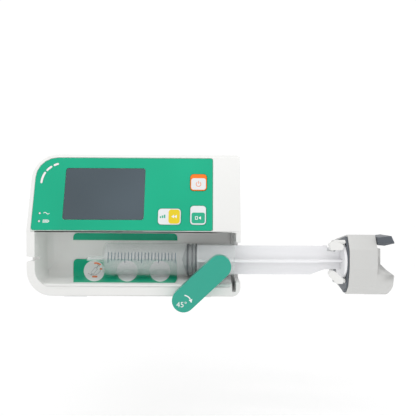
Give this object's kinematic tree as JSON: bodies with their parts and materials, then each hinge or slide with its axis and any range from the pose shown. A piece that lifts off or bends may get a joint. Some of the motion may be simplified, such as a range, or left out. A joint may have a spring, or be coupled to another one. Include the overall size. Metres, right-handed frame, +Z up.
{
  "type": "infusion pump",
  "caption": "Syringe infusion pump for a pole: leaning keypad panel, open syringe bay, rotating clamp lever and screw-driven pusher head, holding a plastic syringe.",
  "frame": {"origin": "centre of the pole clamp's fixed jaw face, where a vertical pole bears", "axes": "+X along the pump from its left end to the pusher, -Y is the front with the panel and the syringe bay, +Z up"},
  "size_m": [0.323, 0.1765, 0.1362],
  "materials": {
    "white_plastic": "fine satin moulded casing",
    "grey_plastic": "satin moulded",
    "dark_plastic": "satin moulded",
    "black_plastic": "matte moulded",
    "panel_green": "semi-gloss printed film",
    "lever_green": "semi-gloss moulded",
    "key_white": "semi-gloss",
    "key_orange": "semi-gloss",
    "screen_glass": "glossy dark display window",
    "light_guide": "frosted translucent",
    "clear_plastic": "clear moulded polypropylene",
    "rod_plastic": "semi-gloss moulded",
    "black_rubber": "matte",
    "foot_rubber": "matte",
    "circuit_board": "solder mask",
    "steel": "ground",
    "zinc_sheet": "plated sheet",
    "alloy": "fine satin",
    "battery_wrap": "shrink wrap"
  },
  "bodies": {
    "pump": {"front_case": "white_plastic", "rear_case": "white_plastic", "battery_cover": "white_plastic", "tube_bushing": "dark_plastic", "clamp_bushing": "dark_plastic", "stepper_motor": "dark_plastic", "display_module": "black_plastic", "speaker": "black_plastic", "power_inlet": "black_plastic", "panel_overlay": "panel_green", "bay_strip": "panel_green", "trough_label": "panel_green", "screen_glass": "screen_glass", "mains_lamp": "light_guide", "battery_lamp": "light_guide", "alarm_light_guide": "light_guide", "syringe_barrel": "clear_plastic", "timing_belt": "black_rubber", "lever_stop": "black_rubber", "front_left_foot": "foot_rubber", "front_right_foot": "foot_rubber", "rear_left_foot": "foot_rubber", "rear_right_foot": "foot_rubber", "keypad_board": "circuit_board", "main_board": "circuit_board", "left_bearing": "steel", "right_bearing": "steel", "guide_rod": "steel", "power_module": "zinc_sheet", "chassis": "zinc_sheet", "pole_bracket": "alloy", "battery_pack": "battery_wrap"},
    "pusher": {"drive_carriage": "alloy", "drive_tube": "steel", "head_case": "white_plastic", "head_face": "grey_plastic", "force_sensor": "steel", "release_pin": "steel", "upper_claw_pin": "steel", "lower_claw_pin": "steel"},
    "release": {"release_lever": "grey_plastic"},
    "upper_claw_body": {"upper_claw": "white_plastic"},
    "lower_claw_body": {"lower_claw": "white_plastic"},
    "plunger": {"plunger_rod": "rod_plastic", "plunger_stopper": "black_rubber"},
    "screw": {"leadscrew": "steel", "leadscrew_pulley": "alloy"},
    "motor_rotor": {"motor_pulley": "alloy"},
    "clamp_slider": {"clamp_shaft": "steel"},
    "clamp": {"clamp_lever": "lever_green"},
    "power_button": {"power_key": "key_orange"},
    "bolus_button": {"bolus_key": "key_white"},
    "start_button": {"start_key": "key_white"},
    "pole_jaw_body": {"pole_jaw": "dark_plastic"},
    "pole_screw_body": {"pole_screw": "steel", "pole_knob": "black_plastic"}
  },
  "joints": [
    {"name": "pusher_slide", "type": "slide", "parent": "pump", "child": "pusher", "axis": [1, 0, 0], "range_m": [-0.066, 0.012]},
    {"name": "plunger_slide", "type": "slide", "parent": "pump", "child": "plunger", "axis": [1, 0, 0], "range_m": [-0.067, 0.013]},
    {"name": "leadscrew_spin", "type": "hinge", "parent": "pump", "child": "screw", "pos_m": [-0.076, -0.081, -0.01], "axis": [1, 0, 0], "range_deg": [-6000, 1200]},
    {"name": "motor_spin", "type": "hinge", "parent": "pump", "child": "motor_rotor", "pos_m": [-0.0756, -0.051, -0.01], "axis": [1, 0, 0], "range_deg": [-6000, 1200]},
    {"name": "release_press", "type": "hinge", "parent": "pusher", "child": "release", "pos_m": [0.22, -0.126, -0.013], "axis": [0, 1, 0], "range_deg": [0, 10], "stiffness_Nm_per_rad": 0.8, "springref_deg": -5.73},
    {"name": "upper_claw_swing", "type": "hinge", "parent": "pusher", "child": "upper_claw_body", "pos_m": [0.1895, -0.1355, -0.0124], "axis": [1, 0, 0], "range_deg": [-36, 1]},
    {"name": "lower_claw_swing", "type": "hinge", "parent": "pusher", "child": "lower_claw_body", "pos_m": [0.1895, -0.1355, -0.047], "axis": [1, 0, 0], "range_deg": [-1, 36]},
    {"name": "clamp_pull", "type": "slide", "parent": "pump", "child": "clamp_slider", "axis": [0, -1, 0], "range_m": [0, 0.016], "stiffness_N_per_m": 400, "springref_m": -0.004},
    {"name": "clamp_turn", "type": "hinge", "parent": "clamp_slider", "child": "clamp", "pos_m": [0.0636, -0.149, -0.055], "axis": [0, 1, 0], "range_deg": [0, 45.5]},
    {"name": "power_press", "type": "slide", "parent": "pump", "child": "power_button", "axis": [0, 0.9681, -0.2504], "range_m": [0, 0.0008], "stiffness_N_per_m": 1500, "springref_m": -0.0003},
    {"name": "bolus_press", "type": "slide", "parent": "pump", "child": "bolus_button", "axis": [0, 0.9681, -0.2504], "range_m": [0, 0.0008], "stiffness_N_per_m": 1500, "springref_m": -0.0003},
    {"name": "start_press", "type": "slide", "parent": "pump", "child": "start_button", "axis": [0, 0.9681, -0.2504], "range_m": [0, 0.0008], "stiffness_N_per_m": 1500, "springref_m": -0.0003},
    {"name": "pole_jaw_slide", "type": "slide", "parent": "pump", "child": "pole_jaw_body", "axis": [1, 0, 0], "range_m": [-0.024, 0.005]},
    {"name": "pole_screw_turn", "type": "hinge", "parent": "pole_jaw_body", "child": "pole_screw_body", "pos_m": [0.032, 0, 0], "axis": [1, 0, 0], "range_deg": [-600, 2600]}
  ],
  "couplings": [
    {"joint": "plunger_slide", "follows": "pusher_slide", "ratio": 1},
    {"joint": "leadscrew_spin", "follows": "pusher_slide", "rad_per_m": 1570.8},
    {"joint": "motor_spin", "follows": "pusher_slide", "rad_per_m": 1570.8},
    {"joint": "upper_claw_swing", "follows": "release_press", "ratio": -3.5},
    {"joint": "lower_claw_swing", "follows": "release_press", "ratio": 3.5},
    {"joint": "clamp_turn", "follows": "clamp_pull", "rad_per_m": 49.087},
    {"joint": "pole_screw_turn", "follows": "pole_jaw_slide", "rad_per_m": -1570.8}
  ]
}
